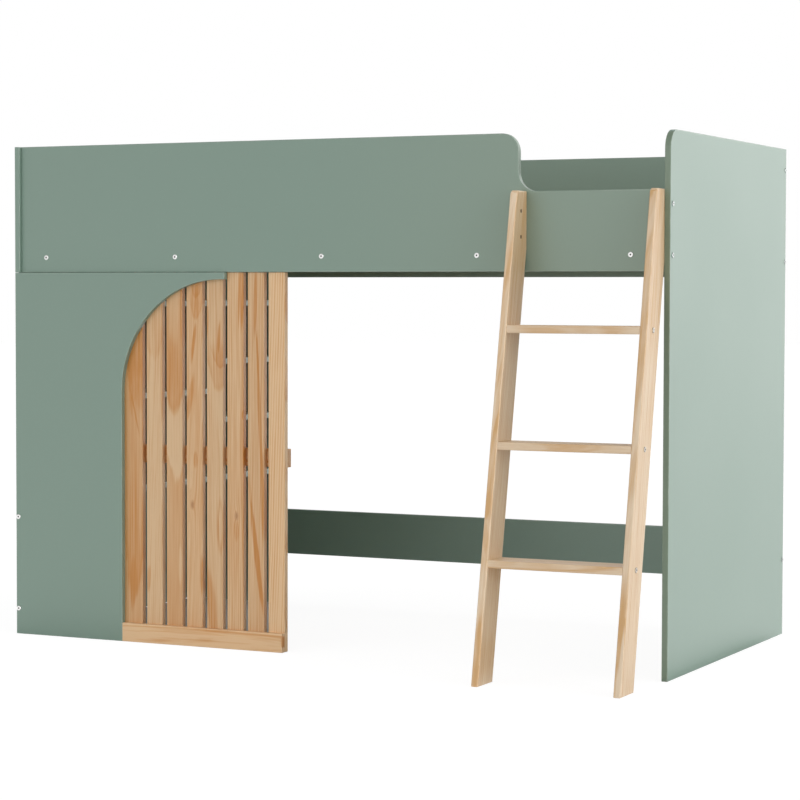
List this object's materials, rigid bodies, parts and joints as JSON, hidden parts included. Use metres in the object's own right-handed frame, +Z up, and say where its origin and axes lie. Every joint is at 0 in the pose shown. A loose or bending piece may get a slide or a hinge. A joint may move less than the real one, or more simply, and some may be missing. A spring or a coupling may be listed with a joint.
{
  "type": "cabin bed",
  "caption": "Raised single bed with guard panels and a slatted base, an arched front panel with a slatted screen and bookcase below, and a leaning ladder.",
  "frame": {"origin": "middle of the bounding box's footprint, on the floor", "axes": "+X along the bed towards the ladder end, +Y from the ladder's side to the wall side, +Z up"},
  "size_m": [1.974, 1.272, 1.39],
  "materials": {
    "sage_board": "fibreboard with matt sage green paint",
    "pine": "knotty pine with a clear satin lacquer",
    "ladder_pine": "pale pine with a clear satin lacquer",
    "zinc_steel": "bright zinc plate",
    "beech": "plain turned beech"
  },
  "bodies": {
    "root": {"left_end_panel": "sage_board", "right_end_panel": "sage_board", "front_guard": "sage_board", "rear_guard": "sage_board", "rear_lower_rail": "sage_board", "front_side_rail": "pine", "rear_side_rail": "pine", "base_slat_1": "pine", "base_slat_2": "pine", "base_slat_3": "pine", "base_slat_4": "pine", "base_slat_5": "pine", "base_slat_6": "pine", "base_slat_7": "pine", "base_slat_8": "pine", "base_slat_9": "pine", "base_slat_10": "pine", "base_slat_11": "pine", "base_slat_12": "pine", "base_slat_13": "pine", "base_slat_14": "pine", "arch_panel": "sage_board", "screen_foot_rail": "pine", "screen_mid_rail": "pine", "screen_slat_1": "pine", "screen_slat_2": "pine", "screen_slat_3": "pine", "screen_slat_4": "pine", "screen_slat_5": "pine", "screen_slat_6": "pine", "screen_slat_7": "pine", "screen_slat_8": "pine", "bookcase_front_side": "sage_board", "bookcase_rear_side": "sage_board", "bookcase_divider": "sage_board", "bookcase_top": "sage_board", "bookcase_bottom_shelf": "sage_board", "bookcase_front_shelf": "sage_board", "bookcase_lower_shelf": "sage_board", "bookcase_upper_shelf": "sage_board", "ladder_left_stile": "ladder_pine", "ladder_right_stile": "ladder_pine", "ladder_rung_1": "ladder_pine", "ladder_rung_2": "ladder_pine", "ladder_rung_3": "ladder_pine", "end_panel_bolts": "zinc_steel", "end_barrel_nuts": "zinc_steel", "side_rail_bolts": "zinc_steel", "side_rail_inserts": "zinc_steel", "ladder_bolts": "zinc_steel", "ladder_barrel_nuts": "zinc_steel", "rung_bolts": "zinc_steel", "rung_barrel_nuts": "zinc_steel", "arch_screws": "zinc_steel", "screen_screws": "zinc_steel", "base_slat_screws": "zinc_steel", "bookcase_screws": "zinc_steel", "screen_dowels": "beech"}
  },
  "joints": []
}
